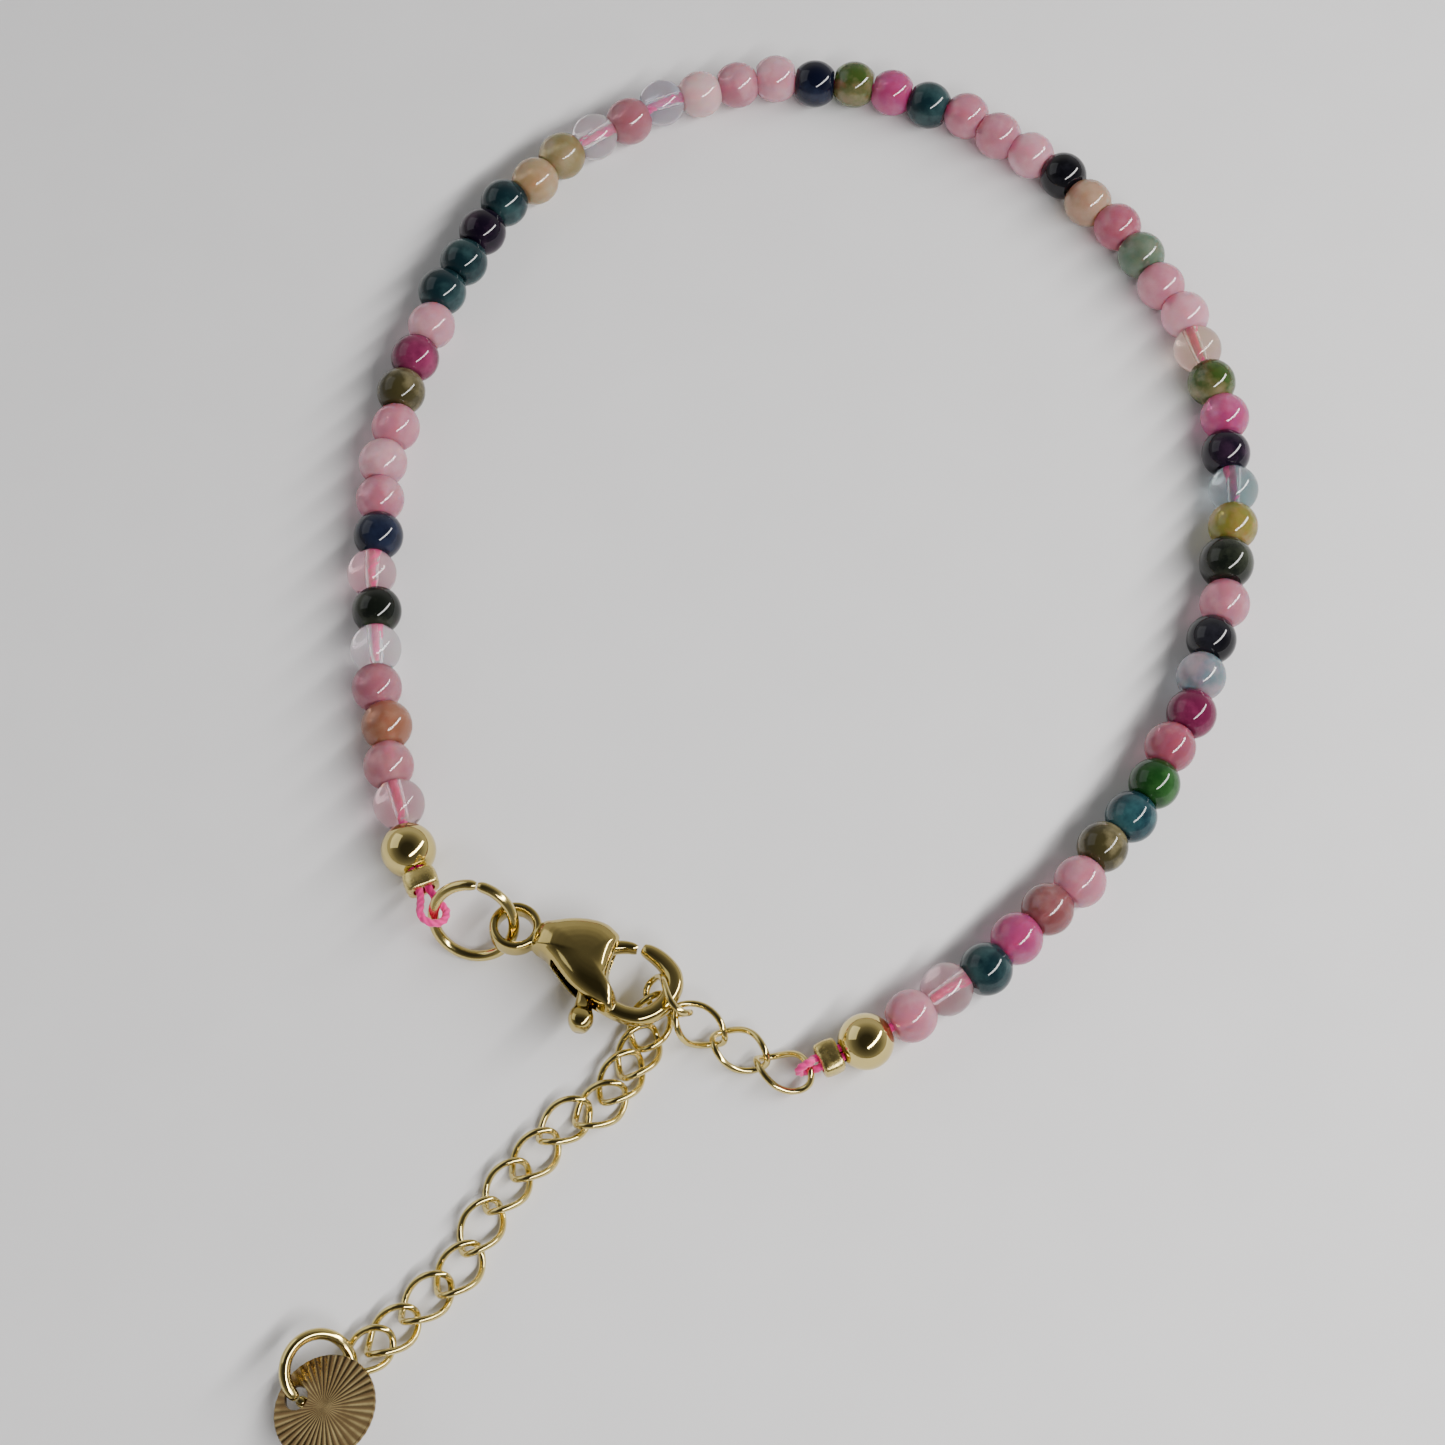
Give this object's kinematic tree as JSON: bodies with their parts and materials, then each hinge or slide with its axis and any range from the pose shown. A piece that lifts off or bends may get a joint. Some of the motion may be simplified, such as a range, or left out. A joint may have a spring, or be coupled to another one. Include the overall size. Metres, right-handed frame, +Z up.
{
  "type": "beaded bracelet",
  "caption": "Wrist bracelet of small round stone beads on thread, closed by a sprung lobster clasp in an extension chain that ends in a round charm.",
  "frame": {"origin": "middle of the footprint, on the surface that the bracelet lies on", "axes": "+Z up from the surface, +Y from the clasp and chain towards the far side of the loop, +X to the right as seen from the clasp side"},
  "size_m": [0.0528, 0.0852, 0.0041],
  "materials": {
    "stone": "polished, in mixed pinks, greens, blues and near-blacks",
    "pink_thread": "twisted thread",
    "gold_plate": "polished gold plate"
  },
  "bodies": {
    "bracelet": {"bead_string": "stone", "thread_loop_left": "pink_thread", "thread_loop_right": "pink_thread", "gold_bead_left": "gold_plate", "gold_bead_right": "gold_plate", "crimp_left": "gold_plate", "crimp_right": "gold_plate", "clasp_ring": "gold_plate", "clasp_body": "gold_plate", "clasp_pin": "gold_plate", "chain_link_01": "gold_plate", "chain_link_02": "gold_plate", "chain_link_03": "gold_plate", "chain_link_04": "gold_plate", "chain_link_05": "gold_plate", "chain_link_06": "gold_plate", "chain_link_07": "gold_plate", "chain_link_08": "gold_plate", "chain_link_09": "gold_plate", "chain_link_10": "gold_plate", "chain_link_11": "gold_plate", "chain_link_12": "gold_plate", "chain_link_13": "gold_plate", "chain_link_14": "gold_plate", "chain_link_15": "gold_plate", "chain_link_16": "gold_plate", "charm_ring": "gold_plate", "charm_disc": "gold_plate"},
    "lever": {"clasp_lever": "gold_plate"}
  },
  "joints": [
    {"name": "clasp_lever_hinge", "type": "hinge", "parent": "bracelet", "child": "lever", "pos_m": [-0.01113, -0.01639, 0.002], "axis": [-0.0615, -0.0885, -0.9942], "range_deg": [0, 22], "stiffness_Nm_per_rad": 0.0004, "springref_deg": -20.05}
  ]
}
